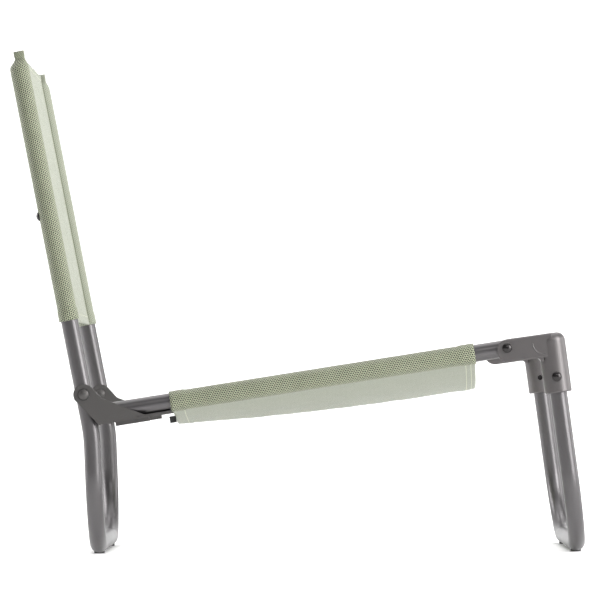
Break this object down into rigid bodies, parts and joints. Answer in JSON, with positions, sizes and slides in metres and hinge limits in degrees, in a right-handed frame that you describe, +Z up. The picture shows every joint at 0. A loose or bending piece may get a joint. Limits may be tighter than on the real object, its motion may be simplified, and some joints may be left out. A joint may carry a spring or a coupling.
{
  "type": "folding camping chair",
  "caption": "Low folding camping chair with a sloping mesh sling seat, a mesh back that folds down onto it and a front leg frame that folds under it",
  "frame": {"origin": "on the floor under the middle of the chair's bounding box", "axes": "+X points forward, towards the front of the seat, +Y to the sitter's left, +Z up"},
  "size_m": [0.6456, 0.5378, 0.5675],
  "materials": {
    "frame_paint": "satin grey powder coat",
    "bracket_paint": "matt grey powder coat",
    "elbow_paint": "satin grey powder coat",
    "mesh": "open woven coated mesh",
    "webbing": "woven webbing",
    "dark_steel": "glossy dark coated steel",
    "dark_plastic": "moulded plastic"
  },
  "bodies": {
    "seat_frame": {"seat_rail_left": "frame_paint", "seat_rail_right": "frame_paint", "hinge_bracket_left": "bracket_paint", "hinge_bracket_right": "bracket_paint", "rail_buffer_left": "dark_plastic", "rail_buffer_right": "dark_plastic", "rail_plug_left": "dark_plastic", "rail_plug_right": "dark_plastic", "hinge_rivet_left": "bracket_paint", "hinge_rivet_right": "bracket_paint", "hinge_washer_left": "dark_plastic", "hinge_washer_right": "dark_plastic", "pivot_bush_left": "dark_plastic", "pivot_bush_right": "dark_plastic", "seat_fabric": "mesh", "seat_tab": "webbing"},
    "back_frame": {"back_tube": "frame_paint", "back_cap_left": "dark_plastic", "back_cap_right": "dark_plastic", "hinge_bush_left": "dark_plastic", "hinge_bush_right": "dark_plastic", "back_fabric": "mesh", "fabric_screw_left": "dark_steel", "fabric_screw_right": "dark_steel", "rear_glide_left": "dark_plastic", "rear_glide_right": "dark_plastic"},
    "front_leg_frame": {"front_leg_tube": "frame_paint", "front_elbow_left": "elbow_paint", "front_elbow_right": "elbow_paint", "pivot_rivet_left": "dark_steel", "pivot_rivet_right": "dark_steel", "leg_rivet_left": "dark_steel", "leg_rivet_right": "dark_steel", "front_glide_left": "dark_plastic", "front_glide_right": "dark_plastic"}
  },
  "joints": [
    {"name": "back_fold", "type": "hinge", "parent": "seat_frame", "child": "back_frame", "pos_m": [-0.24149, 0, 0.1805], "axis": [0, 1, 0], "range_deg": [0, 92]},
    {"name": "front_leg_fold", "type": "hinge", "parent": "seat_frame", "child": "front_leg_frame", "pos_m": [0.23307, 0, 0.23025], "axis": [0, 1, 0], "range_deg": [0, 88]}
  ]
}
